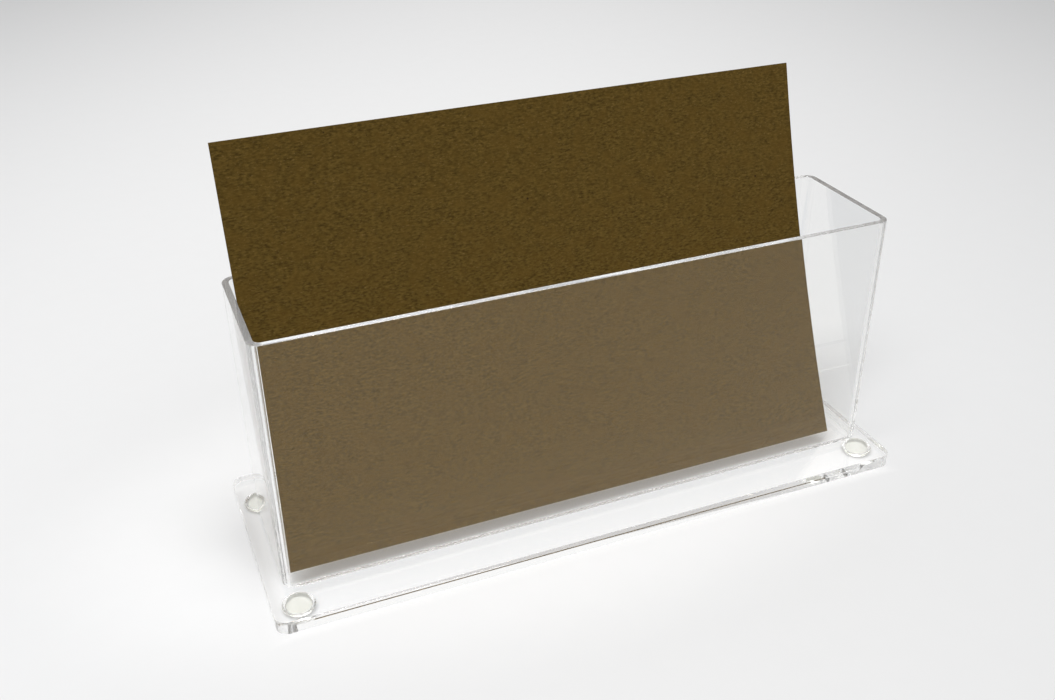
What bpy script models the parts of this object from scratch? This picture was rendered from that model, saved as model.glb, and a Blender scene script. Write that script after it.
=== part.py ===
"""Clear acrylic postcard stand with a blank kraft card standing in its pocket.

One acrylic sheet is bent into a closed band, the sleeve, and bonded upright onto a larger base plate.
Four stick-on bumpers lift the plate off the table. A loose card stands in the pocket and leans back.

Units are metres. +X runs to the right along the stand, +Y to its back and +Z up.
The origin lies on the table, under the middle of the base plate.
"""
import math

import bmesh
import bpy
from mathutils import Vector

MM = 0.001

# Seats: pieces that touch are kept this far apart
SEAT_GAP = 0.3 * MM

# Card: a blank 6 by 4 inch postcard, slightly bowed, and twisted because only its right end meets the rim
CARD_WIDTH = 152.4 * MM
CARD_HEIGHT = 101.6 * MM
CARD_THICKNESS = 0.5 * MM
CARD_BOW = 2.3 * MM
CARD_TWIST = math.radians(5.6)
CARD_LEFT_ROOM = 0.4 * MM
CARD_RIGHT_ROOM = 5.0 * MM
CARD_TOE_ROOM = 4.6 * MM
CARD_COLUMNS = 12
CARD_ROWS = 10

# Sleeve: the bent band round the pocket, with its butt seam in the middle of the back wall
SLEEVE_SHEET = 1.6 * MM
SLEEVE_HEIGHT = 65.0 * MM
SLEEVE_RIM_EASE = 0.2 * MM
POCKET_DEPTH = 32.3 * MM
BEND_INNER_RADIUS = 1.6 * MM
BEND_STEPS = 8
SEAM_GAP = 0.2 * MM

# Base plate: how far it stands out past the sleeve on each side
PLATE_THICKNESS = 3.7 * MM
PLATE_LEFT_LEDGE = 4.2 * MM
PLATE_RIGHT_LEDGE = 3.4 * MM
PLATE_FRONT_LEDGE = 10.9 * MM
PLATE_BACK_LEDGE = 13.7 * MM
PLATE_CORNER_RADIUS = 3.0 * MM
PLATE_CORNER_STEPS = 6
PLATE_EDGE_EASE = 0.25 * MM

# Bumper feet: tapered moulded studs, each on its own disc of adhesive
FOOT_DIAMETER = 8.0 * MM
FOOT_FACE_DIAMETER = 7.2 * MM
FOOT_HEIGHT = 0.5 * MM
FOOT_EDGE_RADIUS = 0.2 * MM
FOOT_SIDES = 32
FOOT_EDGE_STEPS = 3
ADHESIVE_THICKNESS = 0.2 * MM
ADHESIVE_INSET = 0.2 * MM

# Room between each hand-placed foot and the plate's nearest side and end: (along X, along Y)
FOOT_ROOM = {
    "front_left": (2.45 * MM, 3.5 * MM),
    "front_right": (0.95 * MM, 4.95 * MM),
    "back_left": (1.45 * MM, 6.1 * MM),
    "back_right": (1.2 * MM, 6.25 * MM),
}

# Sizes that follow from the ones above
POCKET_WIDTH = CARD_LEFT_ROOM + CARD_WIDTH + CARD_RIGHT_ROOM
SLEEVE_WIDTH = POCKET_WIDTH + 2 * SLEEVE_SHEET
SLEEVE_DEPTH = POCKET_DEPTH + 2 * SLEEVE_SHEET
PLATE_WIDTH = SLEEVE_WIDTH + PLATE_LEFT_LEDGE + PLATE_RIGHT_LEDGE
PLATE_DEPTH = SLEEVE_DEPTH + PLATE_FRONT_LEDGE + PLATE_BACK_LEDGE

# Levels and places that follow from them
ADHESIVE_Z = FOOT_HEIGHT + SEAT_GAP
PLATE_Z = ADHESIVE_Z + ADHESIVE_THICKNESS + SEAT_GAP
PLATE_TOP_Z = PLATE_Z + PLATE_THICKNESS
SLEEVE_Z = PLATE_TOP_Z + SEAT_GAP
SLEEVE_X = (PLATE_LEFT_LEDGE - PLATE_RIGHT_LEDGE) / 2
SLEEVE_Y = (PLATE_FRONT_LEDGE - PLATE_BACK_LEDGE) / 2
CARD_X = SLEEVE_X + (CARD_LEFT_ROOM - CARD_RIGHT_ROOM) / 2
CARD_TOE_Y = SLEEVE_Y - POCKET_DEPTH / 2 + CARD_TOE_ROOM

# How far apart two heights may be and still count as level
LEVEL_TOLERANCE = 0.01 * MM

# Finishes: colour, roughness, light let through
CLEAR_IOR = 1.49
ACRYLIC = ((0.95, 0.96, 0.95), 0.03, 1.0)
BUMPER = ((0.90, 0.91, 0.86), 0.12, 1.0)
ADHESIVE = ((0.92, 0.92, 0.88), 0.30, 1.0)
KRAFT = ((0.093, 0.058, 0.019), 0.85, 0.0)


def clear_scene():
    """Remove every object that the scene starts with."""
    for old in list(bpy.data.objects):
        bpy.data.objects.remove(old, do_unlink=True)


def make_material(name, finish):
    """Return a Principled material with the finish's colour, roughness and transmission."""
    colour, roughness, transmission = finish
    material = bpy.data.materials.new(name)
    material.use_nodes = True
    shader = material.node_tree.nodes["Principled BSDF"]
    shader.inputs["Base Color"].default_value = (*colour, 1.0)
    shader.inputs["Roughness"].default_value = roughness
    shader.inputs["Metallic"].default_value = 0.0
    shader.inputs["Transmission Weight"].default_value = transmission
    shader.inputs["IOR"].default_value = CLEAR_IOR
    return material


def make_object(name, bm, finish, location=(0, 0, 0)):
    """Turn a finished bmesh into a named object with its own material."""
    bmesh.ops.recalc_face_normals(bm, faces=bm.faces)
    mesh = bpy.data.meshes.new(name)
    bm.to_mesh(mesh)
    bm.free()
    mesh.materials.append(make_material(name, finish))
    mesh.shade_smooth()
    mesh.set_sharp_from_angle(angle=math.radians(30))
    piece = bpy.data.objects.new(name, mesh)
    piece.location = location
    bpy.context.collection.objects.link(piece)
    return piece


def with_border(face):
    """Return a face with its edges and corners, so that growing from it leaves no face inside."""
    return [face, *face.edges, *face.verts]


def far_face(geometry):
    """Return the face among the geometry that an extrusion or a spin ends with."""
    return next(part for part in geometry if isinstance(part, bmesh.types.BMFace))


def extrude_face(bm, face, travel):
    """Extrude one face along a vector and return the face at the far end."""
    end = far_face(bmesh.ops.extrude_face_region(bm, geom=with_border(face))["geom"])
    bmesh.ops.translate(bm, verts=end.verts, vec=travel)
    return end


def bend_face(bm, face, pivot, angle):
    """Spin one face round a vertical bend line and return the face at the far end."""
    sweep = bmesh.ops.spin(bm, geom=with_border(face), cent=pivot, axis=(0, 0, 1), angle=angle,
                           steps=BEND_STEPS)
    return far_face(sweep["geom_last"])


def ease_edges(bm, edges, width, segments=2):
    """Round the given edges."""
    bmesh.ops.bevel(bm, geom=edges, offset=width, segments=segments, profile=0.5, affect="EDGES")


def level_edges(bm, height):
    """Return the sharp edges that lie level at one height."""
    def lies_there(edge):
        return all(abs(vert.co.z - height) < LEVEL_TOLERANCE for vert in edge.verts)

    return [edge for edge in bm.edges if lies_there(edge) and edge.calc_face_angle(0) > math.radians(45)]


def make_sleeve():
    """Bend the sheet from the seam round the four corners and back to the seam."""
    half_width = POCKET_WIDTH / 2
    half_depth = POCKET_DEPTH / 2
    straight_x = POCKET_WIDTH - 2 * BEND_INNER_RADIUS
    straight_y = POCKET_DEPTH - 2 * BEND_INNER_RADIUS
    from_seam = (straight_x - SEAM_GAP) / 2
    pivot_x = half_width - BEND_INNER_RADIUS
    pivot_y = half_depth - BEND_INNER_RADIUS

    bm = bmesh.new()
    inner_y, outer_y = half_depth, half_depth + SLEEVE_SHEET
    corners = [(inner_y, 0), (outer_y, 0), (outer_y, SLEEVE_HEIGHT), (inner_y, SLEEVE_HEIGHT)]
    face = bm.faces.new([bm.verts.new((SEAM_GAP / 2, y, z)) for y, z in corners])
    walls = [
        (Vector((from_seam, 0, 0)), (pivot_x, pivot_y, 0)),
        (Vector((0, -straight_y, 0)), (pivot_x, -pivot_y, 0)),
        (Vector((-straight_x, 0, 0)), (-pivot_x, -pivot_y, 0)),
        (Vector((0, straight_y, 0)), (-pivot_x, pivot_y, 0)),
    ]
    for travel, pivot in walls:
        face = extrude_face(bm, face, travel)
        face = bend_face(bm, face, pivot, -math.pi / 2)
    extrude_face(bm, face, Vector((from_seam, 0, 0)))
    bmesh.ops.recalc_face_normals(bm, faces=bm.faces)
    ease_edges(bm, level_edges(bm, SLEEVE_HEIGHT), SLEEVE_RIM_EASE)
    return make_object("sleeve", bm, ACRYLIC, (SLEEVE_X, SLEEVE_Y, SLEEVE_Z))


def make_base_plate():
    """Cut a rectangle with rounded corners from thicker sheet and ease its edges."""
    bm = bmesh.new()
    turns = [(-1, -1), (1, -1), (1, 1), (-1, 1)]
    bm.faces.new([bm.verts.new((x * PLATE_WIDTH / 2, y * PLATE_DEPTH / 2, 0)) for x, y in turns])
    bmesh.ops.bevel(bm, geom=list(bm.verts), offset=PLATE_CORNER_RADIUS, segments=PLATE_CORNER_STEPS,
                    profile=0.5, affect="VERTICES")
    extrude_face(bm, bm.faces[:][0], Vector((0, 0, PLATE_THICKNESS)))
    bmesh.ops.recalc_face_normals(bm, faces=bm.faces)
    ease_edges(bm, level_edges(bm, 0) + level_edges(bm, PLATE_THICKNESS), PLATE_EDGE_EASE)
    return make_object("base_plate", bm, ACRYLIC, (0, 0, PLATE_Z))


def foot_places():
    """Return each foot's name with the X and Y of its centre."""
    places = {}
    for corner, (side_room, end_room) in FOOT_ROOM.items():
        x = PLATE_WIDTH / 2 - side_room - FOOT_DIAMETER / 2
        y = PLATE_DEPTH / 2 - end_room - FOOT_DIAMETER / 2
        places[corner] = (-x if "left" in corner else x, -y if "front" in corner else y)
    return places


def make_foot(corner, x, y):
    """Turn one bumper: a tapered stud with a rounded lower edge and a flat face that meets the table."""
    bm = bmesh.new()
    bmesh.ops.create_cone(bm, cap_ends=True, segments=FOOT_SIDES, radius1=FOOT_FACE_DIAMETER / 2,
                          radius2=FOOT_DIAMETER / 2, depth=FOOT_HEIGHT)
    bmesh.ops.translate(bm, verts=bm.verts, vec=(0, 0, FOOT_HEIGHT / 2))
    ease_edges(bm, level_edges(bm, 0), FOOT_EDGE_RADIUS, FOOT_EDGE_STEPS)
    return make_object(f"foot_{corner}", bm, BUMPER, (x, y, 0))


def make_adhesive(corner, x, y):
    """Cut the disc of adhesive that holds one bumper to the plate."""
    bm = bmesh.new()
    radius = FOOT_DIAMETER / 2 - ADHESIVE_INSET
    bmesh.ops.create_cone(bm, cap_ends=True, segments=FOOT_SIDES, radius1=radius, radius2=radius,
                          depth=ADHESIVE_THICKNESS)
    bmesh.ops.translate(bm, verts=bm.verts, vec=(0, 0, ADHESIVE_THICKNESS / 2))
    return make_object(f"adhesive_{corner}", bm, ADHESIVE, (x, y, ADHESIVE_Z))


def card_back(up, lean):
    """Return (y, z) on the card's back from its lower edge, at a height up the card and a lean."""
    share = up / CARD_HEIGHT
    bulge = 4 * CARD_BOW * share * (1 - share)
    y = up * math.sin(lean) + bulge * math.cos(lean)
    z = up * math.cos(lean) - bulge * math.sin(lean)
    return y, z


def rim_room(lean, samples=200):
    """Return the room between the card's back and the back wall's eased rim at a lean."""
    rim_y = POCKET_DEPTH - CARD_TOE_ROOM + SLEEVE_RIM_EASE
    rim_z = SLEEVE_HEIGHT - SLEEVE_RIM_EASE
    backs = [card_back(CARD_HEIGHT * step / samples, lean) for step in range(samples + 1)]
    return min(math.hypot(rim_y - y, rim_z - z) for y, z in backs) - SLEEVE_RIM_EASE


def lean_on_rim():
    """Tip the card back until it lies one seat gap from the rim, and return that lean."""
    low, high = 0.0, math.atan2(POCKET_DEPTH - CARD_TOE_ROOM, SLEEVE_HEIGHT)
    for _ in range(40):
        middle = (low + high) / 2
        if rim_room(middle) > SEAT_GAP:
            low = middle
        else:
            high = middle
    return low


def make_card():
    """Warp the blank, then stand it on the plate below an empty whose Z is the way it lifts out."""
    right_lean = lean_on_rim()
    lift_lean = right_lean - CARD_TWIST / 2

    bm = bmesh.new()
    bmesh.ops.create_grid(bm, x_segments=CARD_COLUMNS, y_segments=CARD_ROWS, size=0.5)
    for vert in bm.verts:
        across, up = vert.co.x, (vert.co.y + 0.5) * CARD_HEIGHT
        y, z = card_back(up, across * CARD_TWIST)
        vert.co = (across * CARD_WIDTH, y, z)
    card = make_object("card", bm, KRAFT)
    faces_back = card.data.polygons[0].normal.y > 0
    sheet = card.modifiers.new("sheet", "SOLIDIFY")
    sheet.thickness = CARD_THICKNESS
    sheet.offset = -1 if faces_back else 1
    sheet.use_even_offset = True

    slide = bpy.data.objects.new("card_slide", None)
    slide.empty_display_size = CARD_TOE_ROOM
    slide.location = (CARD_X, CARD_TOE_Y, SLEEVE_Z)
    slide.rotation_euler = (-lift_lean, 0, 0)
    bpy.context.collection.objects.link(slide)
    card.parent = slide
    return lift_lean


def main():
    """Build every piece of the stand."""
    clear_scene()
    make_base_plate()
    make_sleeve()
    for corner, (x, y) in foot_places().items():
        make_foot(corner, x, y)
        make_adhesive(corner, x, y)
    lift_lean = make_card()
    print(f"card lifts along (0, {math.sin(lift_lean):.6f}, {math.cos(lift_lean):.6f})")
    print("ok")


main()
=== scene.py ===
"""Postcard stand of clear acrylic with a kraft card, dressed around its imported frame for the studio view."""

import logging
import math
from contextlib import contextmanager
from dataclasses import dataclass, replace
from enum import Enum
from typing import Any, Callable, Iterator, Sequence

import bmesh
import bpy
from mathutils import Matrix, Vector


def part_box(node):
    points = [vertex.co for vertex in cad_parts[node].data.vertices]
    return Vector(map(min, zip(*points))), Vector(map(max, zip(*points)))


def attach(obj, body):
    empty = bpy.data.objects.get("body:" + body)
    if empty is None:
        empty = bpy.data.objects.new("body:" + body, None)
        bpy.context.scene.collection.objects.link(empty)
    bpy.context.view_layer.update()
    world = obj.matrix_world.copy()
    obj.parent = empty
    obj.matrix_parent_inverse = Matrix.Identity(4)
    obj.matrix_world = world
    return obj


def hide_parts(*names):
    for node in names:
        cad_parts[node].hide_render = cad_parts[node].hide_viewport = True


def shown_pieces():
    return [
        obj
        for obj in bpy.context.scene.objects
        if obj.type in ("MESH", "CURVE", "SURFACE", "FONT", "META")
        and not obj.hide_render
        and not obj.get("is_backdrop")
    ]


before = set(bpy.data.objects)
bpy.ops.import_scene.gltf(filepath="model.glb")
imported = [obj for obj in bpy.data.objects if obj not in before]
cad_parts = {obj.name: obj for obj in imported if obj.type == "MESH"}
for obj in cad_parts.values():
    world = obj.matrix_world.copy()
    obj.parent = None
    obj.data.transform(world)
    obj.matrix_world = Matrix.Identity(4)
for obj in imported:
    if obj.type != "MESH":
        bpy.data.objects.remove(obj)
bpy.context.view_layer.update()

log = logging.getLogger("postcard_stand")

Piece = bpy.types.Object
Material = bpy.types.Material
Node = bpy.types.Node
Socket = bpy.types.NodeSocket
Colour = tuple[float, float, float]
Span = tuple[float, float]
Test = Callable[[Any], bool]

# Lengths are in metres: a place is met when it is NEAR, and points within MERGE are one
MM = 0.001
NEAR = 0.002 * MM
MERGE = 0.001 * MM

# Shares of a face's normal along an axis: square to it, square beside a rounded edge, and turned away from it
SQUARE = 0.9
DEAD_SQUARE = 0.99
TURNED = 0.5

# Edges sharper than this, in degrees, stay sharp
SMOOTH_ANGLE = 40.0

CLEAR_BOUNCES = 96
CLEAR_PLATE = 3.42 * MM


class Body(str, Enum):
    """The frame's moving bodies."""

    STAND = "stand"
    CARD = "card"


class Slot(str, Enum):
    """The record's material slots."""

    ACRYLIC = "acrylic"
    BUMPER = "bumper"
    ADHESIVE = "adhesive"
    KRAFT = "kraft_card"


class Corner(str, Enum):
    """The four corners that carry a bumper."""

    FRONT_LEFT = "front_left"
    FRONT_RIGHT = "front_right"
    BACK_LEFT = "back_left"
    BACK_RIGHT = "back_right"


class Part(Enum):
    """The kinds of mesh element that can be picked on the bench."""

    POINTS = "verts"
    EDGES = "edges"
    FACES = "faces"


def lies_at(element: Any, level: float) -> bool:
    """Say whether all the points of an edge or face lie at a height."""
    return all(abs(v.co.z - level) < NEAR for v in element.verts)


def stand_in(piece: Piece, body: Body, node: str) -> None:
    """Set a piece on its body, in the place of one of the frame's nodes.

    Args:
        piece: The finished piece.
        body: The body that carries it.
        node: The node that it stands for.
    """
    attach(piece, body.value)
    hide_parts(node)


class Bench:
    """Modelling tools, used on one piece at a time."""

    MODES = {
        Part.POINTS: (True, False, False),
        Part.EDGES: (False, True, False),
        Part.FACES: (False, False, True),
    }
    FLAT_WEIGHT = 100

    @staticmethod
    def clear() -> None:
        """Put every piece down."""
        bpy.ops.object.select_all(action="DESELECT")

    @classmethod
    def take(cls, piece: Piece) -> None:
        """Make a piece the only one selected, and the active one.

        Args:
            piece: The piece to take.
        """
        cls.clear()
        piece.select_set(True)
        bpy.context.view_layer.objects.active = piece

    @classmethod
    @contextmanager
    def editing(cls, piece: Piece) -> Iterator[None]:
        """Open a piece in edit mode and close it again.

        Args:
            piece: The piece to work on.
        """
        cls.take(piece)
        bpy.ops.object.mode_set(mode="EDIT")
        yield
        bpy.ops.object.mode_set(mode="OBJECT")

    @classmethod
    def pick(cls, piece: Piece, part: Part, test: Test) -> None:
        """Select the elements that pass a test and no others, in edit mode.

        Args:
            piece: The piece in edit mode.
            part: The kind of element.
            test: Says whether an element is wanted.
        """
        bpy.context.tool_settings.mesh_select_mode = cls.MODES[part]
        mesh = bmesh.from_edit_mesh(piece.data)
        bpy.ops.mesh.select_all(action="DESELECT")
        for element in [e for e in getattr(mesh, part.value) if test(e)]:
            element.select_set(True)
        mesh.select_flush_mode()
        bmesh.update_edit_mesh(piece.data)

    @staticmethod
    def extrude(rise: float) -> None:
        """Draw what is selected straight up by a height, or down by a negative one."""
        bpy.ops.mesh.extrude_region_move(TRANSFORM_OT_translate={"value": (0.0, 0.0, rise)})

    @staticmethod
    def bevel(width: float, steps: int) -> None:
        """Round off the edges that are selected."""
        bpy.ops.mesh.bevel(offset=width, segments=steps, affect="EDGES")

    @staticmethod
    def name(piece: Piece, name: str) -> Piece:
        """Name a piece and its mesh alike.

        Args:
            piece: The piece to name.
            name: Its name.

        Returns:
            The same piece.
        """
        piece.name = name
        piece.data.name = name
        return piece

    @classmethod
    def settle(cls, piece: Piece) -> None:
        """Move a piece's place and size into its mesh."""
        cls.take(piece)
        bpy.ops.object.transform_apply(location=True, rotation=True, scale=True)

    @classmethod
    def rounded_sheet(
        cls, name: str, low: Vector, high: Vector, level: float, radius: float, steps: int
    ) -> Piece:
        """Make a flat sheet with rounded corners.

        Args:
            name: The piece's name.
            low: The lowest corner of the outline.
            high: The highest corner of the outline.
            level: The sheet's height.
            radius: The corner radius.
            steps: The facets in each corner.

        Returns:
            The sheet, one face.
        """
        cls.clear()
        centre = (low + high) / 2
        bpy.ops.mesh.primitive_plane_add(size=1.0, location=(centre.x, centre.y, level))
        sheet = cls.name(bpy.context.active_object, name)
        sheet.scale = (high.x - low.x, high.y - low.y, 1.0)
        cls.settle(sheet)
        with cls.editing(sheet):
            bpy.ops.mesh.select_all(action="SELECT")
            bpy.ops.mesh.bevel(offset=radius, segments=steps, affect="VERTICES")
        return sheet

    @classmethod
    def face_outwards(cls, piece: Piece) -> None:
        """Merge a mesh's doubled points and turn all its faces outwards.

        Args:
            piece: The piece to put right.
        """
        with cls.editing(piece):
            bpy.ops.mesh.select_all(action="SELECT")
            bpy.ops.mesh.remove_doubles(threshold=MERGE)
            bpy.ops.mesh.normals_make_consistent(inside=False)

    @classmethod
    def smooth(cls, piece: Piece) -> None:
        """Shade a piece smooth, with its flat faces kept flat.

        Args:
            piece: The piece to shade.
        """
        cls.take(piece)
        bpy.ops.object.shade_smooth_by_angle(angle=math.radians(SMOOTH_ANGLE))
        modifier = piece.modifiers.new("flat_faces", "WEIGHTED_NORMAL")
        modifier.keep_sharp = True
        modifier.weight = cls.FLAT_WEIGHT
        bpy.ops.object.modifier_apply(modifier=modifier.name)

    @staticmethod
    def paint(piece: Piece, finishes: Sequence[Material]) -> None:
        """Give a piece its materials, the first all over.

        Args:
            piece: The piece to paint.
            finishes: Its materials.
        """
        piece.data.materials.clear()
        for finish in finishes:
            piece.data.materials.append(finish)

    @staticmethod
    def paint_faces(piece: Piece, finish: Material, test: Test) -> None:
        """Give the faces that pass a test one of the piece's materials.

        Args:
            piece: The piece to paint.
            finish: The material, one of those that the piece was given.
            test: Says whether a polygon is wanted.
        """
        index = piece.data.materials.find(finish.name)
        for polygon in piece.data.polygons:
            if test(polygon):
                polygon.material_index = index


@dataclass(frozen=True)
class Noise:
    """A noise texture: its scale per metre, its layers of detail and how rough they are."""

    scale: Any
    detail: float = 2.0
    rough: float = 0.5


class Board:
    """A node tree with short ways to add and join nodes."""

    RANGE_KEYS = ("From Min", "From Max", "To Min", "To Max")

    def __init__(self, tree: bpy.types.NodeTree) -> None:
        """Start on a tree, emptied."""
        self.tree = tree
        tree.nodes.clear()

    def add(self, kind: str, settings: dict[str, Any] | None = None, **inputs: Any) -> Node:
        """Add a node.

        Args:
            kind: The node's type name.
            settings: Properties of the node itself.
            inputs: Values or sockets for its inputs, by name with underscores for spaces.

        Returns:
            The new node.
        """
        node = self.tree.nodes.new(kind)
        for key, value in (settings or {}).items():
            setattr(node, key, value)
        self.fill(node, **inputs)
        return node

    def fill(self, node: Node, **inputs: Any) -> None:
        """Set a node's inputs to values or sockets, by name with underscores for spaces."""
        for key, value in inputs.items():
            self.feed(node.inputs[key.replace("_", " ")], value)

    def feed(self, socket: Socket, value: Any) -> None:
        """Join a socket to another, or set its value.

        Args:
            socket: The input to feed.
            value: A socket or a plain value.
        """
        if isinstance(value, Socket):
            self.tree.links.new(value, socket)
        else:
            socket.default_value = value

    def feed_all(self, node: Node, values: Sequence[Any]) -> None:
        """Feed a node's inputs in their order."""
        for socket, value in zip(node.inputs, values):
            self.feed(socket, value)

    def maths(self, operation: str, *values: Any) -> Socket:
        """Work a value out.

        Args:
            operation: The sum to do.
            values: The values or sockets that go in.

        Returns:
            The result.
        """
        node = self.add("ShaderNodeMath", {"operation": operation})
        self.feed_all(node, values)
        return node.outputs[0]

    def vectors(self, operation: str, *values: Any) -> Node:
        """Work a vector out.

        Args:
            operation: The sum to do.
            values: The vectors or sockets that go in.

        Returns:
            The node, with its Vector and Value outputs.
        """
        node = self.add("ShaderNodeVectorMath", {"operation": operation})
        self.feed_all(node, values)
        return node

    def ranged(self, value: Any, span: Span, to: Span = (0.0, 1.0)) -> Socket:
        """Map a value from one range to another, clamped and eased.

        Args:
            value: The value or socket to map.
            span: The range that it comes from.
            to: The range that it goes to.

        Returns:
            The mapped value.
        """
        node = self.add("ShaderNodeMapRange", {"interpolation_type": "SMOOTHSTEP"}, Value=value)
        for key, number in zip(self.RANGE_KEYS, (*span, *to)):
            node.inputs[key].default_value = number
        return node.outputs["Result"]

    def mixed(self, factor: Any, first: Any, second: Any) -> Socket:
        """Mix two colours.

        Args:
            factor: The second colour's share.
            first: The first colour.
            second: The second colour.

        Returns:
            The mixed colour.
        """
        node = self.add("ShaderNodeMix", {"data_type": "RGBA"})
        colours = [s for s in node.inputs if s.type == "RGBA"]
        for socket, value in zip((node.inputs[0], *colours), (factor, first, second)):
            self.feed(socket, value)
        return next(s for s in node.outputs if s.type == "RGBA")

    def noise(self, place: Socket, noise: Noise) -> Socket:
        """Add a noise texture and return its value."""
        settings = {"Scale": noise.scale, "Detail": noise.detail, "Roughness": noise.rough}
        return self.add("ShaderNodeTexNoise", Vector=place, **settings).outputs[0]

    def specks(self, place: Socket, scale: Any, span: Span, share: Any) -> Socket:
        """Scatter small round specks.

        Args:
            place: The place on the surface.
            scale: The cells in a metre, one speck in each at most.
            span: A speck's radius, where it starts to fade and where it ends, in cells.
            share: The share of the cells that stay empty.

        Returns:
            1 on a speck and 0 between them.
        """
        cells = self.add("ShaderNodeTexVoronoi", Vector=place, Scale=scale)
        near = self.ranged(cells.outputs["Distance"], span, (1.0, 0.0))
        rare = self.add("ShaderNodeSeparateColor", Color=cells.outputs["Color"]).outputs[0]
        return self.maths("MULTIPLY", near, self.maths("GREATER_THAN", rare, share))

    def blended(self, share: Any, first: Socket, *second: Socket) -> Socket:
        """Mix a shader with a second one.

        Args:
            share: The second shader's share.
            first: The first shader.
            second: The second shader, or nothing for black.

        Returns:
            The mixed shader.
        """
        node = self.add("ShaderNodeMixShader")
        self.feed_all(node, (share, first, *second))
        return node.outputs[0]

    def show(self, shader: Socket) -> None:
        """Join a shader to the material's output."""
        output = next(n for n in self.tree.nodes if n.type == "OUTPUT_MATERIAL")
        self.feed(output.inputs["Surface"], shader)


def rgba(colour: Colour) -> tuple[float, float, float, float]:
    """Return a linear colour with full alpha."""
    return (*colour, 1.0)


def grey(level: float) -> Colour:
    """Return a linear grey."""
    return (level, level, level)


def linear(value: float) -> float:
    """Return the linear level of a screen level given from 0 to 255."""
    share = value / 255
    return share / 12.92 if share <= 0.04045 else ((share + 0.055) / 1.055) ** 2.4


def screen(red: float, green: float, blue: float) -> Colour:
    """Return the linear colour of a screen colour given from 0 to 255."""
    return linear(red), linear(green), linear(blue)


def new_group(name: str, inputs: dict[str, Any], outputs: Sequence[str]) -> tuple[Board, Node, Node]:
    """Start a shader node group.

    Args:
        name: The group's name.
        inputs: Default values by name; None makes a vector socket.
        outputs: The names of its value outputs.

    Returns:
        The group's board, its input node and its output node.
    """
    tree = bpy.data.node_groups.new(name, "ShaderNodeTree")
    for key, value in inputs.items():
        kind = "NodeSocketVector" if value is None else "NodeSocketFloat"
        socket = tree.interface.new_socket(key, in_out="INPUT", socket_type=kind)
        if value is not None:
            socket.default_value = value
    for key in outputs:
        tree.interface.new_socket(key, in_out="OUTPUT", socket_type="NodeSocketFloat")
    board = Board(tree)
    return board, board.add("NodeGroupInput"), board.add("NodeGroupOutput")


@dataclass(frozen=True)
class SheetWear:
    """The effect of handling on clear plastic: a faint ripple, smeared haze and sparse dust."""

    ripple_scale: float = 30.0
    ripple_detail: float = 1.0
    haze: float = 0.01
    smear: Noise = Noise(90.0, 4.0, 0.6)
    smear_span: Span = (0.45, 0.75)
    dust: float = 0.25
    dust_scale: float = 220.0
    dust_span: Span = (0.03, 0.06)
    dust_free: float = 0.93

    def make(self) -> bpy.types.NodeTree:
        """Build the effect.

        Returns:
            The node group.
        """
        inputs = {
            "Vector": None,
            "Ripple Scale": self.ripple_scale,
            "Haze": self.haze,
            "Dust Scale": self.dust_scale,
            "Dust": self.dust,
        }
        board, given, made = new_group("sheet_wear", inputs, ("Roughness", "Height"))
        place = given.outputs["Vector"]
        ripple = board.noise(place, Noise(given.outputs["Ripple Scale"], self.ripple_detail))
        smear = board.ranged(board.noise(place, self.smear), self.smear_span)
        haze = board.maths("MULTIPLY", smear, given.outputs["Haze"])
        specks = board.specks(place, given.outputs["Dust Scale"], self.dust_span, self.dust_free)
        dust = board.maths("MULTIPLY", specks, given.outputs["Dust"])
        board.fill(made, Roughness=board.maths("ADD", haze, dust), Height=ripple)
        return board.tree


@dataclass(frozen=True)
class PaperFibre:
    """The fibres of pressed paper: streaks, clouds, flecks, specks and a fine tooth."""

    stretch: tuple[float, float, float] = (0.4, 1.0, 1.0)
    streak: Noise = Noise(2400.0, 3.0, 0.6)
    streak_height: float = 0.6
    cloud: Noise = Noise(260.0, 3.0, 0.55)
    fleck: Noise = Noise(4200.0, 1.0)
    fleck_span: Span = (0.62, 0.78)
    tooth: Noise = Noise(3000.0, 2.0, 0.7)
    speck_scale: float = 210.0
    speck_span: Span = (0.035, 0.075)
    speck_free: float = 0.9

    def make(self) -> bpy.types.NodeTree:
        """Build the effect.

        Returns:
            The node group.
        """
        inputs = {"Vector": None, "Scale": 1.0, "Speck Share": self.speck_free}
        board, given, made = new_group("paper_fibre", inputs, ("Streak", "Cloud", "Fleck", "Speck", "Height"))
        scaled = board.vectors("SCALE", given.outputs["Vector"])
        board.fill(scaled, Scale=given.outputs["Scale"])
        place = scaled.outputs[0]
        along = board.add("ShaderNodeMapping", Vector=place, Scale=self.stretch).outputs[0]
        streak = board.noise(along, self.streak)
        ridge = board.maths("MULTIPLY", streak, self.streak_height)
        board.fill(
            made,
            Streak=streak,
            Cloud=board.noise(place, self.cloud),
            Fleck=board.ranged(board.noise(along, self.fleck), self.fleck_span),
            Speck=board.specks(place, self.speck_scale, self.speck_span, given.outputs["Speck Share"]),
            Height=board.maths("ADD", ridge, board.noise(place, self.tooth)),
        )
        return board.tree


@dataclass(frozen=True)
class Effects:
    """The shader effects that more than one finish shares."""

    wear: bpy.types.NodeTree
    fibre: bpy.types.NodeTree

    @classmethod
    def make(cls) -> "Effects":
        """Build each effect once."""
        return cls(SheetWear().make(), PaperFibre().make())


def new_finish(name: str) -> tuple[Material, Board, Node]:
    """Start a material with a Principled shader.

    Args:
        name: The material's name.

    Returns:
        The material, its node board and its shader.
    """
    material = bpy.data.materials.new(name)
    material.use_nodes = True
    board = Board(material.node_tree)
    shader = board.add("ShaderNodeBsdfPrincipled")
    board.add("ShaderNodeOutputMaterial", Surface=shader.outputs[0])
    return material, board, shader


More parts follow.
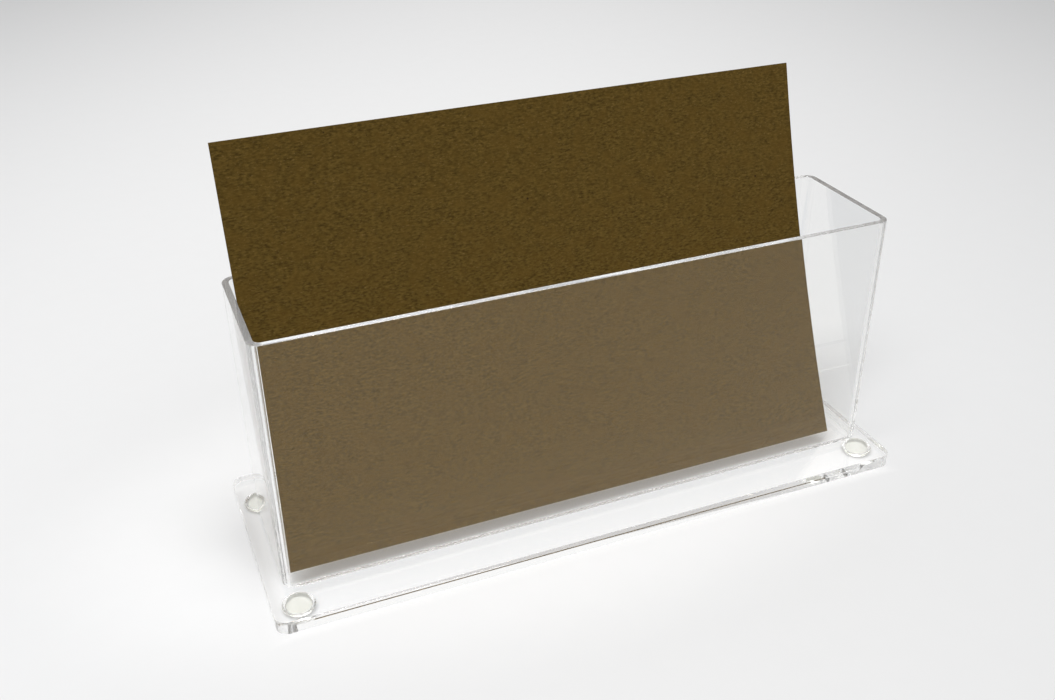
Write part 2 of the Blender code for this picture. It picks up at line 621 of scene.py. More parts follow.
@dataclass(frozen=True)
class Passing:
    """The share of soft light that a clear face lets through: met squarely, at a slant and from within."""

    square: float = 1.0
    slant: float = 0.99
    within: float = 1.0
    slant_power: float = 3.0

    def colour(self, board: Board, leaving: Socket) -> Socket:
        """Work out what a face leaves of soft light.

        Args:
            board: The material's node board.
            leaving: 1 where light leaves the plastic, 0 where it enters.

        Returns:
            The colour that is let through.
        """
        slant = board.add("ShaderNodeLayerWeight").outputs["Facing"]
        steep = board.maths("POWER", slant, self.slant_power)
        outer = board.ranged(steep, (0.0, 1.0), (self.square, self.slant))
        inner = board.ranged(leaving, (0.0, 1.0), (1.0, self.within))
        share = board.maths("MULTIPLY", outer, inner)
        passed = board.add("ShaderNodeCombineColor", Red=share, Green=share, Blue=share)
        return passed.outputs[0]


@dataclass(frozen=True)
class ClearFinish:
    """Clear plastic: its tint, its gloss, how worn it is, how it passes soft light and how it dims within."""

    name: str
    tint: Colour
    glint: Colour
    index: float
    gloss: float
    haze: float
    dust: float
    ripple_scale: float
    ripple: float
    passing: Passing = Passing()
    dimming: float = 0.0

    def make(self, effects: Effects) -> Material:
        """Build the material.

        Args:
            effects: The shared shader effects.

        Returns:
            The material.
        """
        material, board, shader = new_finish(self.name)
        place = board.add("ShaderNodeTexCoord").outputs["Object"]
        wear = board.add(
            "ShaderNodeGroup",
            {"node_tree": effects.wear},
            Vector=place,
            Ripple_Scale=self.ripple_scale,
            Haze=self.haze,
            Dust=self.dust,
        )
        bump = board.add("ShaderNodeBump", Height=wear.outputs["Height"], Strength=self.ripple, Distance=MM)
        board.fill(
            shader,
            Base_Color=rgba(self.tint),
            IOR=self.index,
            Specular_Tint=rgba(self.glint),
            Transmission_Weight=1.0,
            Roughness=board.maths("ADD", wear.outputs["Roughness"], self.gloss),
            Normal=bump.outputs[0],
        )
        self.let_lamps_through(board, shader)
        return material

    def let_lamps_through(self, board: Board, shader: Node) -> None:
        """Let soft light pass straight through the plastic, except for the share that its faces hold back.

        Args:
            board: The material's node board.
            shader: Its Principled shader.
        """
        path = board.add("ShaderNodeLightPath")
        soft = board.maths("MAXIMUM", path.outputs["Is Shadow Ray"], path.outputs["Is Diffuse Ray"])
        leaving = board.add("ShaderNodeNewGeometry").outputs["Backfacing"]
        through = board.add("ShaderNodeBsdfTransparent", Color=self.passing.colour(board, leaving))
        surface = board.blended(soft, shader.outputs[0], through.outputs[0])
        if self.dimming:
            lost = self.lost_within(board, path.outputs["Ray Length"], leaving)
            seen = board.maths("SUBTRACT", 1.0, soft)
            surface = board.blended(board.maths("MULTIPLY", lost, seen), surface)
        board.show(surface)

    def lost_within(self, board: Board, length: Socket, leaving: Socket) -> Socket:
        """Work out the light that is lost on the way through the plastic.

        Args:
            board: The material's node board.
            length: How far the light has come.
            leaving: 1 where light leaves the plastic, 0 where it enters.

        Returns:
            The share that is lost.
        """
        kept = board.maths("EXPONENT", board.maths("MULTIPLY", length, -self.dimming))
        return board.maths("MULTIPLY", leaving, board.maths("SUBTRACT", 1.0, kept))


@dataclass(frozen=True)
class BondFinish:
    """A bonded face between two clear pieces, where nothing is left to reflect."""

    name: str

    def make(self) -> Material:
        """Build the material.

        Returns:
            The material.
        """
        material, board, shader = new_finish(self.name)
        board.fill(shader, Alpha=0.0)
        return material


@dataclass(frozen=True)
class KraftFinish:
    """Brown kraft board: its tones, how strongly each mark shows, its tooth and its dull surface."""

    name: str
    dark: Colour
    light: Colour
    warm: Colour
    fleck: Colour
    speck: Colour
    lean: float
    streak_span: Span = (0.25, 0.75)
    cloud_span: Span = (0.4, 0.7)
    cloud_share: float = 0.6
    fleck_share: float = 0.35
    speck_share: float = 0.85
    tooth: float = 0.25
    tooth_depth: float = 0.05 * MM
    rough_span: Span = (0.2, 0.8)
    rough: Span = (0.95, 0.8)
    shine: float = 0.1

    def make(self, effects: Effects) -> Material:
        """Build the material.

        Args:
            effects: The shared shader effects.

        Returns:
            The material.
        """
        material, board, shader = new_finish(self.name)
        place = board.add("ShaderNodeTexCoord").outputs["Object"]
        upright = board.add("ShaderNodeMapping", Vector=place, Rotation=(self.lean, 0.0, 0.0))
        fibre = board.add("ShaderNodeGroup", {"node_tree": effects.fibre}, Vector=upright.outputs[0]).outputs
        colour = rgba(self.dark)
        marks = (
            (board.ranged(fibre["Streak"], self.streak_span), self.light),
            (board.ranged(fibre["Cloud"], self.cloud_span, (0.0, self.cloud_share)), self.warm),
            (board.maths("MULTIPLY", fibre["Fleck"], self.fleck_share), self.fleck),
            (board.maths("MULTIPLY", fibre["Speck"], self.speck_share), self.speck),
        )
        for share, tone in marks:
            colour = board.mixed(share, colour, rgba(tone))
        bump = board.add(
            "ShaderNodeBump", Height=fibre["Height"], Strength=self.tooth, Distance=self.tooth_depth
        )
        board.fill(
            shader,
            Base_Color=colour,
            Roughness=board.ranged(fibre["Streak"], self.rough_span, self.rough),
            Normal=bump.outputs[0],
            Specular_IOR_Level=self.shine,
        )
        return material


@dataclass(frozen=True)
class Finishes:
    """Every material on the object."""

    acrylic: Material
    wall: Material
    panel: Material
    heel: Material
    cut_edge: Material
    cut_side: Material
    cut_corner: Material
    cut_end: Material
    bumper: Material
    bumper_edge: Material
    adhesive: Material
    bond: Material
    kraft: Material

    @classmethod
    def make(cls, effects: Effects) -> "Finishes":
        """Build the materials from their recipes.

        Args:
            effects: The shared shader effects.

        Returns:
            The finishes.
        """
        clear = {key: recipe.make(effects) for key, recipe in cls.clear_recipes().items()}
        bond = BondFinish("clear_bond").make()
        kraft = KraftFinish(
            "kraft_board",
            dark=screen(59, 45, 12),
            light=screen(101, 80, 34),
            warm=screen(88, 67, 24),
            fleck=screen(140, 116, 74),
            speck=screen(32, 22, 12),
            lean=math.radians(-18.5),
        )
        return cls(**clear, bond=bond, kraft=kraft.make(effects))

    @staticmethod
    def clear_recipes() -> dict[str, ClearFinish]:
        """Give the recipe of each clear finish.

        Returns:
            The recipes, by the name of the finish.
        """
        acrylic = ClearFinish(
            "clear_acrylic",
            tint=(0.998, 0.997, 0.99),
            glint=(1.0, 0.8, 0.56),
            index=1.49,
            gloss=0.0,
            haze=0.01,
            dust=0.25,
            ripple_scale=30.0,
            ripple=0.02,
        )
        wall = replace(acrylic, name="clear_wall", passing=Passing(0.93, 0.8), dimming=2.8)
        cut_edge = replace(acrylic, name="clear_cut_edge", gloss=0.04, passing=Passing(0.97, 0.97, 0.97))
        bumper = ClearFinish(
            "clear_bumper",
            tint=(0.9, 0.905, 0.78),
            glint=grey(1.0),
            index=1.5,
            gloss=0.2,
            haze=0.05,
            dust=0.2,
            ripple_scale=400.0,
            ripple=0.05,
        )
        adhesive = replace(
            bumper, name="clear_adhesive", tint=(0.985, 0.98, 0.96), index=1.48, ripple_scale=600.0
        )
        return {
            "acrylic": acrylic,
            "wall": wall,
            "panel": replace(wall, name="clear_panel", dimming=0.3),
            "heel": replace(wall, name="clear_heel", gloss=0.5),
            "cut_edge": cut_edge,
            "cut_side": replace(cut_edge, name="clear_cut_side", passing=Passing(0.95, 0.95, 0.6)),
            "cut_corner": replace(cut_edge, name="clear_cut_corner", gloss=0.14),
            "cut_end": replace(cut_edge, name="clear_cut_end", gloss=0.3),
            "bumper": bumper,
            "bumper_edge": replace(bumper, name="clear_bumper_edge", passing=Passing(0.5, 0.5, 0.5)),
            "adhesive": adhesive,
        }


def plate_box() -> tuple[Vector, Vector]:
    """Take the plate's corners from the frame, with its underside as high as the light in its edge asks.

    Returns:
        The lowest and the highest corner.
    """
    low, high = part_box("base_plate")
    low.z = high.z - CLEAR_PLATE
    return low, high


@dataclass
class Sleeve:
    """The bent acrylic band that makes the pocket, down to the plate that it is bonded to."""

    low: Vector
    high: Vector
    sheet: float = 1.6 * MM
    bend: float = 1.6 * MM
    bend_steps: int = 20
    rim_ease: float = 0.1 * MM
    rim_steps: int = 3
    seam: float = 0.2 * MM
    bond: float = 0.65 * MM
    lift: float = 0.25 * MM
    slack: float = 0.02 * MM

    @classmethod
    def measured(cls) -> "Sleeve":
        """Take the band's corners from the frame.

        Returns:
            The sleeve, with its foot on the plate.
        """
        low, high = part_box("sleeve")
        low.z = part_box("base_plate")[1].z
        return cls(low, high)

    @property
    def radius(self) -> float:
        """Return the outer radius of a bend."""
        return self.bend + self.sheet

    @property
    def middle(self) -> Vector:
        """Return the middle of the band."""
        return (self.low + self.high) / 2

    def band(self, name: str) -> Piece:
        """Make the band's flat section at the plate's top, with the pocket's floor inside it.

        Args:
            name: The piece's name.

        Returns:
            The section: the bonded ring, the ring within it and one inner face.
        """
        section = Bench.rounded_sheet(name, self.low, self.high, self.low.z, self.radius, self.bend_steps)
        with Bench.editing(section):
            bpy.ops.mesh.select_all(action="SELECT")
            bpy.ops.mesh.inset(thickness=self.bond, use_even_offset=True)
            bpy.ops.mesh.inset(thickness=self.sheet - self.bond, use_even_offset=True)
        return section

    def depth(self, x: float, y: float) -> float:
        """Work out how far inside the band's outline a place in the plan lies.

        Args:
            x: The place across.
            y: The place front to back.

        Returns:
            The depth, negative outside.
        """
        half = (self.high - self.low) / 2
        across = abs(x - self.middle.x) - half.x + self.radius
        along = abs(y - self.middle.y) - half.y + self.radius
        return self.radius - math.hypot(max(across, 0.0), max(along, 0.0)) - min(max(across, along), 0.0)

    def at_front(self, x: float, y: float) -> bool:
        """Say whether a place in the plan is under the front wall, between its bends.

        Args:
            x: The place across.
            y: The place front to back.

        Returns:
            Whether it is.
        """
        straight = self.high.x - self.middle.x - self.radius + self.rim_ease
        return y < self.low.y + self.sheet + NEAR and abs(x - self.middle.x) < straight

    def bonded(self, x: float, y: float) -> bool:
        """Say whether a place in the plan is where the band is bonded."""
        return 0.0 < self.depth(x, y) < (self.bond if self.at_front(x, y) else self.sheet)

    def build(self) -> Piece:
        """Model the band.

        Returns:
            The finished mesh.
        """
        piece = self.band("acrylic_sleeve")
        with Bench.editing(piece):
            Bench.pick(
                piece,
                Part.FACES,
                lambda f: (f.calc_center_median() - self.middle).xy.length < self.sheet,
            )
            bpy.ops.mesh.delete(type="FACE")
            bpy.ops.mesh.select_all(action="SELECT")
            Bench.extrude(self.high.z - self.low.z)
        Bench.face_outwards(piece)
        self.lift_heel(piece)
        self.ease_rim(piece)
        self.cut_seam(piece)
        Bench.face_outwards(piece)
        Bench.smooth(piece)
        return piece

    def lift_heel(self, piece: Piece) -> None:
        """Ease the inner edge of the front wall's foot, where the bond does not reach.

        Args:
            piece: The band.
        """
        inner = self.sheet - self.slack
        with Bench.editing(piece):
            Bench.pick(
                piece,
                Part.POINTS,
                lambda v: abs(v.co.z - self.low.z) < NEAR
                and self.depth(v.co.x, v.co.y) > inner
                and self.at_front(v.co.x, v.co.y),
            )
            bpy.ops.transform.translate(value=(0.0, 0.0, self.lift))

    def ease_rim(self, piece: Piece) -> None:
        """Round off the rim's two edges.

        Args:
            piece: The band.
        """
        with Bench.editing(piece):
            Bench.pick(
                piece,
                Part.EDGES,
                lambda e: lies_at(e, self.high.z) and any(abs(f.normal.z) < TURNED for f in e.link_faces),
            )
            Bench.bevel(self.rim_ease, self.rim_steps)

    def cut_seam(self, piece: Piece) -> None:
        """Part the back wall where the two ends of the sheet meet.

        Args:
            piece: The band.
        """
        middle = self.middle
        half = self.seam / 2

        def behind(face: Any) -> bool:
            """Say whether a face is on the back half."""
            return face.calc_center_median().y > middle.y

        with Bench.editing(piece):
            for side in (-half, half):
                Bench.pick(piece, Part.FACES, behind)
                bpy.ops.mesh.bisect(plane_co=(middle.x + side, 0.0, 0.0), plane_no=(1.0, 0.0, 0.0))
            Bench.pick(
                piece,
                Part.FACES,
                lambda f: behind(f) and abs(f.calc_center_median().x - middle.x) < half,
            )
            bpy.ops.mesh.delete(type="FACE")
            bpy.ops.mesh.select_all(action="SELECT")
            bpy.ops.mesh.fill_holes(sides=0)

    def dress(self, piece: Piece, finishes: Finishes) -> None:
        """Paint the band, its front wall, its heel and its bonded foot, and set it on the stand.

        Args:
            piece: The band.
            finishes: The object's materials.
        """

        def front_wall(polygon: Any) -> bool:
            """Say whether a face is on the front wall."""
            return abs(polygon.normal.y) > SQUARE and self.at_front(polygon.center.x, polygon.center.y)

        def foot(polygon: Any) -> bool:
            """Say whether a face looks down at the plate."""
            return polygon.normal.z < -SQUARE

        Bench.paint(piece, (finishes.wall, finishes.bond, finishes.heel, finishes.panel))
        Bench.paint_faces(piece, finishes.panel, front_wall)
        Bench.paint_faces(piece, finishes.heel, foot)
        Bench.paint_faces(piece, finishes.bond, lambda p: foot(p) and abs(p.center.z - self.low.z) < NEAR)
        stand_in(piece, Body.STAND, "sleeve")


@dataclass
class Bumper:
    """One stick-on bumper and its adhesive, under a corner of the plate."""

    corner: Corner
    axis: Vector
    radius: float
    reach: float
    top: float
    edge: float = 0.3 * MM
    edge_steps: int = 6
    top_ease: float = 0.12 * MM
    top_steps: int = 3
    face_share: float = 0.8
    sides: int = 96
    adhesive: float = 0.3 * MM

    @classmethod
    def measured(cls, corner: Corner) -> "Bumper":
        """Take a bumper's place and sizes from the frame.

        Args:
            corner: The plate's corner that it is under.

        Returns:
            The bumper, with its axis on the table and its top at the plate's underside.
        """
        low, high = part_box(f"foot_{corner.value}")
        axis = Vector(((low.x + high.x) / 2, (low.y + high.y) / 2, low.z))
        film_low, film_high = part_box(f"adhesive_{corner.value}")
        reach = (film_high.x - film_low.x) / 2
        return cls(corner, axis, (high.x - low.x) / 2, reach, plate_box()[0].z)

    def within(self, place: Vector, reach: float) -> bool:
        """Say whether a place is within a reach of the axis, in the plan."""
        return (place - self.axis).xy.length < reach

    def build_foot(self) -> Piece:
        """Model the moulded bumper.

        Returns:
            The finished mesh.
        """
        axis, radius = self.axis, self.radius
        top = self.top - self.adhesive
        Bench.clear()
        bpy.ops.mesh.primitive_cone_add(
            vertices=self.sides,
            radius1=radius * self.face_share,
            radius2=radius,
            depth=top - axis.z,
            location=(axis.x, axis.y, (top + axis.z) / 2),
        )
        foot = Bench.name(bpy.context.active_object, f"bumper_{self.corner.value}")
        Bench.settle(foot)
        with Bench.editing(foot):
            Bench.pick(foot, Part.EDGES, lambda e: lies_at(e, axis.z))
            Bench.bevel(self.edge, self.edge_steps)
            Bench.pick(foot, Part.EDGES, lambda e: lies_at(e, top))
            Bench.bevel(self.top_ease, self.top_steps)
            Bench.pick(foot, Part.FACES, lambda f: f.normal.z > DEAD_SQUARE and len(f.verts) == self.sides)
            bpy.ops.mesh.inset(thickness=radius - self.top_ease - self.reach)
        Bench.face_outwards(foot)
        Bench.smooth(foot)
        return foot

    def build_adhesive(self) -> Piece:
        """Model the disc of adhesive.

        Returns:
            The finished mesh.
        """
        Bench.clear()
        bpy.ops.mesh.primitive_cylinder_add(
            vertices=self.sides,
            radius=self.reach,
            depth=self.adhesive,
            location=(self.axis.x, self.axis.y, self.top - self.adhesive / 2),
        )
        disc = Bench.name(bpy.context.active_object, f"bumper_adhesive_{self.corner.value}")
        Bench.settle(disc)
        Bench.smooth(disc)
        return disc

    def dress(self, foot: Piece, disc: Piece, finishes: Finishes) -> None:
        """Paint the bumper and its adhesive and set them on the stand.

        Args:
            foot: The moulded bumper.
            disc: Its disc of adhesive.
            finishes: The object's materials.
        """

        def stuck(polygon: Any) -> bool:
            """Say whether a face is where the adhesive holds the bumper."""
            return polygon.normal.z > DEAD_SQUARE and self.within(polygon.center, self.reach / 2)

        Bench.paint(foot, (finishes.bumper, finishes.bond, finishes.bumper_edge))
        Bench.paint_faces(foot, finishes.bond, stuck)
        Bench.paint_faces(foot, finishes.bumper_edge, lambda p: abs(p.normal.z) < DEAD_SQUARE)
        Bench.paint(disc, (finishes.adhesive, finishes.bond))
        Bench.paint_faces(disc, finishes.bond, lambda p: abs(p.normal.z) > DEAD_SQUARE)
        stand_in(foot, Body.STAND, f"foot_{self.corner.value}")
        stand_in(disc, Body.STAND, f"adhesive_{self.corner.value}")


@dataclass
class BasePlate:
    """The acrylic plate under the sleeve."""

    sleeve: Sleeve
    bumpers: list[Bumper]
    corner: float = 3.0 * MM
    corner_steps: int = 20
    ease: float = 0.06 * MM
    ease_steps: int = 3
    left_share: float = 0.7
    turned_share: float = 0.05

    def build(self) -> Piece:
        """Model the plate, with the places where the sleeve and the bumpers are bonded to it.

        Returns:
            The finished mesh.
        """
        low, high = plate_box()
        inset = Vector((self.ease, self.ease, 0.0))
        radius = self.corner - self.ease
        rim = high.x - 2 * self.ease
        top = Bench.rounded_sheet(
            "acrylic_base_plate", low + inset, high - inset, high.z, radius, self.corner_steps
        )
        band = self.sleeve.band("band_place")
        Bench.take(top)
        band.select_set(True)
        bpy.ops.object.join()
        plate = bpy.context.active_object
        with Bench.editing(plate):
            Bench.pick(plate, Part.FACES, lambda f: max(abs(v.co.x) for v in f.verts) > rim)
            bpy.ops.mesh.delete(type="ONLY_FACE")
            Bench.pick(plate, Part.EDGES, lambda e: len(e.link_faces) < 2)
            bpy.ops.mesh.bridge_edge_loops()
            self.skirt(plate, low, high)
            self.underside(plate, low)
        Bench.face_outwards(plate)
        Bench.smooth(plate)
        return plate

    def skirt(self, plate: Piece, low: Vector, high: Vector) -> None:
        """Draw the plate's rounded edge down from its top outline.

        Args:
            plate: The plate in edit mode.
            low: The plate's lowest corner.
            high: The plate's highest corner.
        """
        ease = self.ease
        turns = [math.pi / 2 * step / self.ease_steps for step in range(self.ease_steps + 1)]
        rings = [(1 - math.sin(t), high.z - ease * (1 - math.cos(t))) for t in turns]
        rings += [(1 - math.cos(t), low.z + ease * (1 - math.sin(t))) for t in turns]
        was, level = rings[0]
        Bench.pick(plate, Part.EDGES, lambda e: len(e.link_faces) == 1)
        for inward, height in rings[1:]:
            shares = [(side - 2 * ease * inward) / (side - 2 * ease * was) for side in (high - low).xy]
            Bench.extrude(height - level)
            bpy.ops.transform.resize(value=(*shares, 1.0), center_override=(0.0, 0.0, 0.0))
            was, level = inward, height

    def underside(self, plate: Piece, low: Vector) -> None:
        """Close the plate's underside round the four bumpers' places.

        Args:
            plate: The plate in edit mode.
            low: The plate's lowest corner.
        """
        for bumper in self.bumpers:
            bpy.ops.mesh.select_all(action="DESELECT")
            bpy.ops.mesh.primitive_circle_add(
                vertices=bumper.sides,
                radius=bumper.reach,
                fill_type="NOTHING",
                location=(bumper.axis.x, bumper.axis.y, low.z),
            )
        Bench.pick(plate, Part.EDGES, lambda e: lies_at(e, low.z))
        bpy.ops.mesh.fill(use_beauty=True)
        for bumper in self.bumpers:
            reach = bumper.reach + NEAR
            Bench.pick(
                plate,
                Part.EDGES,
                lambda e: len(e.link_faces) == 1
                and lies_at(e, low.z)
                and all(bumper.within(v.co, reach) for v in e.verts),
            )
            bpy.ops.mesh.edge_face_add()

    def dress(self, plate: Piece, finishes: Finishes) -> None:
        """Paint the plate, its cut edges and its bonded places, and set it on the stand.

        Args:
            plate: The plate.
            finishes: The object's materials.
        """
        low, high = plate_box()

        def under_sleeve(polygon: Any) -> bool:
            """Say whether a face is where the sleeve stands."""
            on_top = polygon.normal.z > SQUARE and abs(polygon.center.z - high.z) < NEAR
            return on_top and self.sleeve.bonded(polygon.center.x, polygon.center.y)

        def over_bumper(polygon: Any) -> bool:
            """Say whether a face is where a bumper is stuck."""
            below = polygon.normal.z < -SQUARE and abs(polygon.center.z - low.z) < NEAR
            return below and any(b.within(polygon.center, b.reach / 2) for b in self.bumpers)

        def at_corner(polygon: Any) -> bool:
            """Say whether a face is on a rounded corner."""
            return min(abs(polygon.normal.x), abs(polygon.normal.y)) > self.turned_share

        places = (
            (finishes.bond, lambda p: under_sleeve(p) or over_bumper(p)),
            (finishes.cut_edge, lambda p: abs(p.normal.z) < SQUARE),
            (finishes.cut_side, lambda p: p.normal.x < -self.left_share),
            (finishes.cut_corner, at_corner),
            (finishes.cut_end, lambda p: p.normal.x > self.turned_share),
        )
        Bench.paint(plate, (finishes.acrylic, *(finish for finish, _ in places)))
        for finish, test in places:
            Bench.paint_faces(plate, finish, test)
        stand_in(plate, Body.STAND, "base_plate")


@dataclass
class Card:
    """The kraft postcard in the pocket."""

    edge: float = 0.05 * MM
    edge_steps: int = 2
    sharp: float = 60.0

    def build(self) -> Piece:
        """Model the card: the bowed sheet, smoothed, with soft cut edges.

        Returns:
            The finished mesh.
        """
        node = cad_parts["card"]
        piece = bpy.data.objects.new("kraft_postcard", node.data.copy())
        bpy.context.scene.collection.objects.link(piece)
        Bench.name(piece, "kraft_postcard")
        with Bench.editing(piece):
            bpy.ops.mesh.select_all(action="SELECT")
            bpy.ops.mesh.remove_doubles(threshold=MERGE)
            bpy.ops.mesh.customdata_custom_splitnormals_clear()
            bpy.ops.mesh.tris_convert_to_quads()
            bpy.context.tool_settings.mesh_select_mode = Bench.MODES[Part.EDGES]
            bpy.ops.mesh.select_all(action="DESELECT")
            bpy.ops.mesh.edges_select_sharp(sharpness=math.radians(self.sharp))
            Bench.bevel(self.edge, self.edge_steps)
        Bench.smooth(piece)
        return piece

    def dress(self, piece: Piece, kraft: Material) -> None:
        """Paint the card and set it on its own body."""
        Bench.paint(piece, (kraft,))
        stand_in(piece, Body.CARD, "card")


def seen_rays(board: Board) -> Socket:
    """Find the rays that show what they meet to the camera, straight or by way of clear pieces.

    Args:
        board: The node board to work on.

    Returns:
        1 for such a ray and 0 for the rest.
    """
    path = board.add("ShaderNodeLightPath")
    clear = board.maths("MAXIMUM", path.outputs["Is Glossy Ray"], path.outputs["Is Transmission Ray"])
    return board.maths("MAXIMUM", clear, path.outputs["Is Camera Ray"])


@dataclass(frozen=True)
class PaintedLightPool:
    """A pool of light painted into the floor's colour: its painted tone, middle, turn, half sizes, even core
    and outline.
    """

    tone: Colour
    centre: Vector
    turn: float
    half: Vector
    core: float = 0.0
    boxed: bool = False

    def spread(self, board: Board, place: Socket) -> Socket:
        """Work out how far a place is from the pool's middle.

        Args:
            board: The floor's node board.
            place: The place on the floor.

        Returns:
            The distance, eased, from 0 in the core to 1 at the rim.
        """
        local = board.add(
            "ShaderNodeMapping",
            {"vector_type": "TEXTURE"},
            Vector=place,
            Location=self.centre,
            Rotation=(0.0, 0.0, self.turn),
            Scale=self.half,
        ).outputs[0]
        if self.boxed:
            sides = board.vectors("ABSOLUTE", local).outputs[0]
            parts = board.add("ShaderNodeSeparateXYZ", Vector=sides)
            away = board.maths("MAXIMUM", parts.outputs["X"], parts.outputs["Y"])
        else:
            away = board.vectors("LENGTH", local).outputs["Value"]
        return board.ranged(away, (self.core, 1.0))


@dataclass(frozen=True)
class FloorFinish:
    """The pale floor: its tone at the rim, darkened as painted shade where the lamp's light falls off, the
    painted pools of light on it, its grain and its dull surface.
    """

    # Painted shade: the floor's tone away from the pools, darker where the lamp's light falls off towards the
    # far corners
    rim: Colour = (0.602, 0.606, 0.61)
    # Painted light: the wide first pool paints the lamp's spread over the floor, and the two small ones paint
    # the light that the clear plastic gathers round and under the stand
    painted_light_pools: tuple[PaintedLightPool, ...] = (
        PaintedLightPool(
            grey(0.867),
            Vector((222.0, 600.0, 0.0)) * MM,
            math.radians(-25.8),
            Vector((579.0, 1577.0, 1000.0)) * MM,
        ),
        PaintedLightPool(
            grey(0.872),
            Vector((-12.0, 14.0, 0.0)) * MM,
            0.0,
            Vector((137.0, 82.0, 1000.0)) * MM,
            core=0.5,
        ),
        PaintedLightPool(
            grey(0.93),
            Vector((0.0, 0.0, 0.0)),
            0.0,
            Vector((88.0, 32.0, 1000.0)) * MM,
            core=0.85,
            boxed=True,
        ),
    )
    grain: Colour = grey(0.5)
    grain_scale: float = 0.5
    grain_span: Span = (0.3, 0.7)
    grain_share: float = 0.015
    rough: float = 0.9
    shine: float = 0.1
    fade: Span = (0.72, 1.9)

    def make(self, effects: Effects, backdrop: Colour) -> Material:
        """Build the material.

        Args:
            effects: The shared shader effects.
            backdrop: The colour that the floor fades into, far outside the photo's view.

        Returns:
            The material.
        """
        material, board, shader = new_finish("pale_floor")
        place = board.add("ShaderNodeTexCoord").outputs["Object"]
        fibre = board.add(
            "ShaderNodeGroup", {"node_tree": effects.fibre}, Vector=place, Scale=self.grain_scale
        )
        # Painted light and shade: the darker rim tone, with the painted pools of light mixed over it
        colour = rgba(self.rim)
        for pool in self.painted_light_pools:
            colour = board.mixed(pool.spread(board, place), rgba(pool.tone), colour)
        grain = board.ranged(fibre.outputs["Cloud"], self.grain_span, (0.0, self.grain_share))
        colour = board.mixed(grain, colour, rgba(self.grain))
        board.fill(shader, Base_Color=colour, Roughness=self.rough, Specular_IOR_Level=self.shine)
        away = board.vectors("LENGTH", place).outputs["Value"]
        faded = board.maths("MULTIPLY", board.ranged(away, self.fade), seen_rays(board))
        glow = board.add("ShaderNodeEmission", Color=rgba(backdrop), Strength=1.0)
        board.show(board.blended(faded, shader.outputs[0], glow.outputs[0]))
        return material


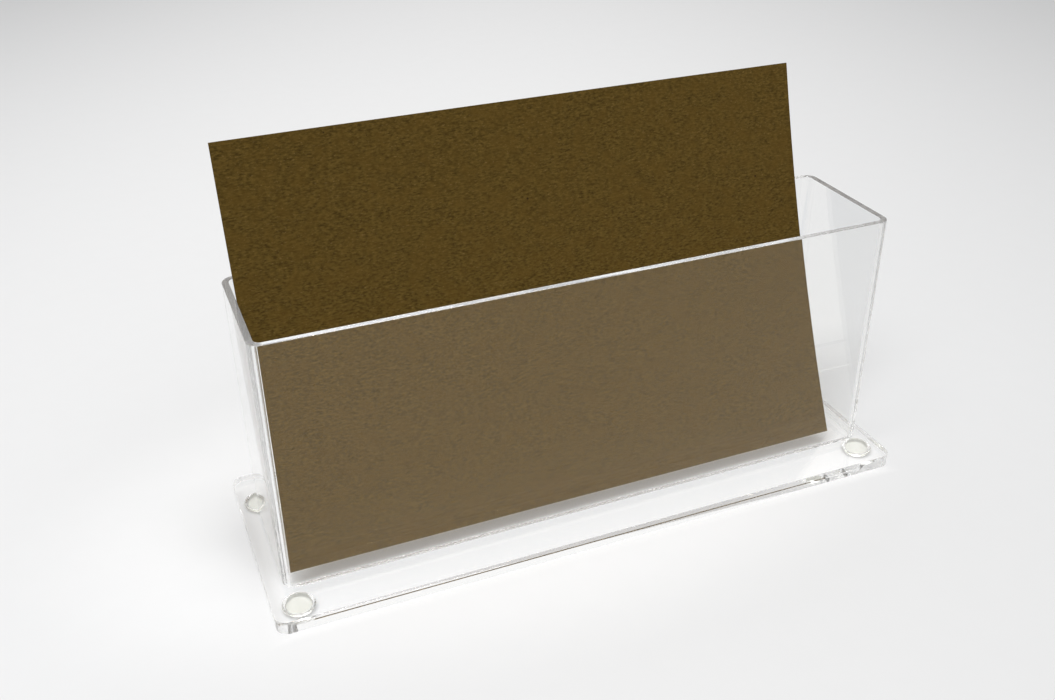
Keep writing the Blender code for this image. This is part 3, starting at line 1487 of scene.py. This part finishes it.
@dataclass
class Studio:
    """The floor, the soft light and the camera."""

    place: Vector
    heading: float
    dip: float
    roll: float
    lens: float
    sensor: float = 36.0
    clip: Span = (0.01, 50.0)
    lamp_place: Vector = Vector((-0.25, -0.09, 1.15))
    lamp_size: tuple[float, float] = (1.1, 0.3)
    lamp_power: float = 10.75
    floor_half: float = 4.0
    floor_drop: float = 0.05 * MM
    backdrop: Colour = grey(0.95)
    sky_axis: Vector = Vector((0.0, -0.75, 0.66))
    sky_span: Span = (-0.6, 0.9)
    sky_low: Colour = (0.203, 0.203, 0.207)
    sky_high: Colour = grey(0.65)

    def build(self, effects: Effects) -> None:
        """Set the whole studio up.

        Args:
            effects: The shared shader effects.
        """
        self.lay_floor(effects)
        self.light_world()
        self.hang_lamp()
        self.set_camera()
        scene = bpy.context.scene
        scene.view_settings.view_transform = "Standard"
        for kind in ("max_bounces", "transmission_bounces", "glossy_bounces", "transparent_max_bounces"):
            setattr(scene.cycles, kind, CLEAR_BOUNCES)
        scene.cycles.blur_glossy = 0.0

    def lay_floor(self, effects: Effects) -> None:
        """Lay the pale floor.

        Args:
            effects: The shared shader effects.
        """
        Bench.clear()
        bpy.ops.mesh.primitive_plane_add(size=2 * self.floor_half, location=(0.0, 0.0, -self.floor_drop))
        floor = Bench.name(bpy.context.active_object, "studio_floor")
        Bench.settle(floor)
        Bench.paint(floor, (FloorFinish().make(effects, self.backdrop),))
        floor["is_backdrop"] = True

    def light_world(self) -> None:
        """Surround the object with soft light, brighter above and in front."""
        world = bpy.data.worlds.new("studio_light")
        bpy.context.scene.world = world
        world.use_nodes = True
        board = Board(world.node_tree)
        place = board.add("ShaderNodeTexCoord").outputs["Generated"]
        facing = board.vectors("DOT_PRODUCT", place, self.sky_axis.normalized()).outputs["Value"]
        share = board.ranged(facing, self.sky_span)
        colour = board.mixed(share, rgba(self.sky_low), rgba(self.sky_high))
        colour = board.mixed(seen_rays(board), colour, rgba(self.backdrop))
        back = board.add("ShaderNodeBackground", Color=colour, Strength=1.0)
        board.add("ShaderNodeOutputWorld", Surface=back.outputs[0])

    def hang_lamp(self) -> None:
        """Hang the long soft lamp over the stand."""
        data = bpy.data.lights.new("top_lamp", "AREA")
        data.shape = "RECTANGLE"
        data.size, data.size_y = self.lamp_size
        data.energy = self.lamp_power
        lamp = bpy.data.objects.new("top_lamp", data)
        bpy.context.scene.collection.objects.link(lamp)
        lamp.location = self.lamp_place
        lamp.rotation_euler = (math.atan2(self.lamp_place.y, self.lamp_place.z), 0.0, 0.0)

    def set_camera(self) -> None:
        """Set the camera up at the photo's angle."""
        data = bpy.data.cameras.new("view_camera")
        data.sensor_width = self.sensor
        data.lens = self.lens
        data.clip_start, data.clip_end = self.clip
        camera = bpy.data.objects.new("view_camera", data)
        bpy.context.scene.collection.objects.link(camera)
        ahead = Vector(
            (
                math.sin(self.heading) * math.cos(self.dip),
                math.cos(self.heading) * math.cos(self.dip),
                -math.sin(self.dip),
            )
        )
        right = ahead.cross(Vector((0.0, 0.0, 1.0))).normalized()
        up = right.cross(ahead)
        turned = math.cos(self.roll) * right + math.sin(self.roll) * up
        raised = math.cos(self.roll) * up - math.sin(self.roll) * right
        axes = Matrix((turned, raised, -ahead)).transposed()
        camera.matrix_world = Matrix.Translation(self.place) @ axes.to_4x4()
        bpy.context.scene.camera = camera


def main() -> None:
    """Build the stand, its card and the studio."""
    logging.basicConfig(level=logging.INFO, format="%(message)s")
    effects = Effects.make()
    finishes = Finishes.make(effects)
    sleeve = Sleeve.measured()
    bumpers = [Bumper.measured(corner) for corner in Corner]
    plate = BasePlate(sleeve, bumpers)
    card = Card()
    sleeve.dress(sleeve.build(), finishes)
    plate.dress(plate.build(), finishes)
    for bumper in bumpers:
        bumper.dress(bumper.build_foot(), bumper.build_adhesive(), finishes)
    card.dress(card.build(), finishes.kraft)
    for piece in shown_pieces():
        log.info("%s: %d faces", piece.name, len(piece.data.polygons))
    Studio(
        place=Vector((-102.13, -227.81, 185.94)) * MM,
        heading=math.radians(21.91),
        dip=math.radians(30.07),
        roll=math.radians(-0.77),
        lens=38.71,
    ).build(effects)


if __name__ == "__main__":
    main()
